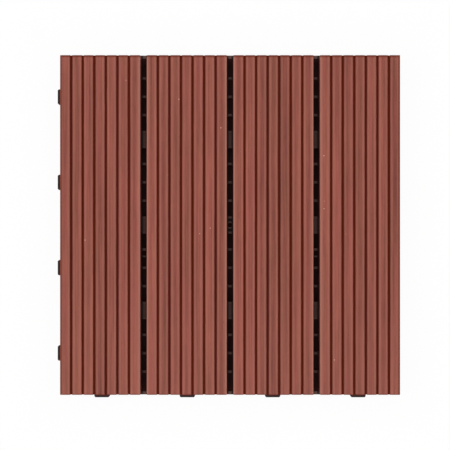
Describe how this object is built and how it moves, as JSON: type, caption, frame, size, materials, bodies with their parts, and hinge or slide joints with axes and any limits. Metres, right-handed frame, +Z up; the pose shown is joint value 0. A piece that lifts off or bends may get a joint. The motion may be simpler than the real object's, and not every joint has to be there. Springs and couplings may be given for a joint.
{
  "type": "interlocking deck tile",
  "caption": "Square interlocking deck tile: grooved composite slats on a black moulded lattice base with edge tongues and sockets.",
  "frame": {"origin": "middle of the tile's underside, on the plane it stands on, under the centre of the four slats", "axes": "+Z up through the tread, +Y along the slats towards the socket side, +X across the slats towards the other socket side"},
  "size_m": [0.3, 0.3, 0.022],
  "materials": {
    "composite": "extruded wood-plastic composite, red-brown, brushed ridges",
    "black_plastic": "injection-moulded polypropylene, black, fine matt",
    "screw_steel": "zinc-plated steel"
  },
  "bodies": {
    "root": {"slat_1": "composite", "slat_2": "composite", "slat_3": "composite", "slat_4": "composite", "base_grid": "black_plastic", "slat_screws": "screw_steel"}
  },
  "joints": []
}
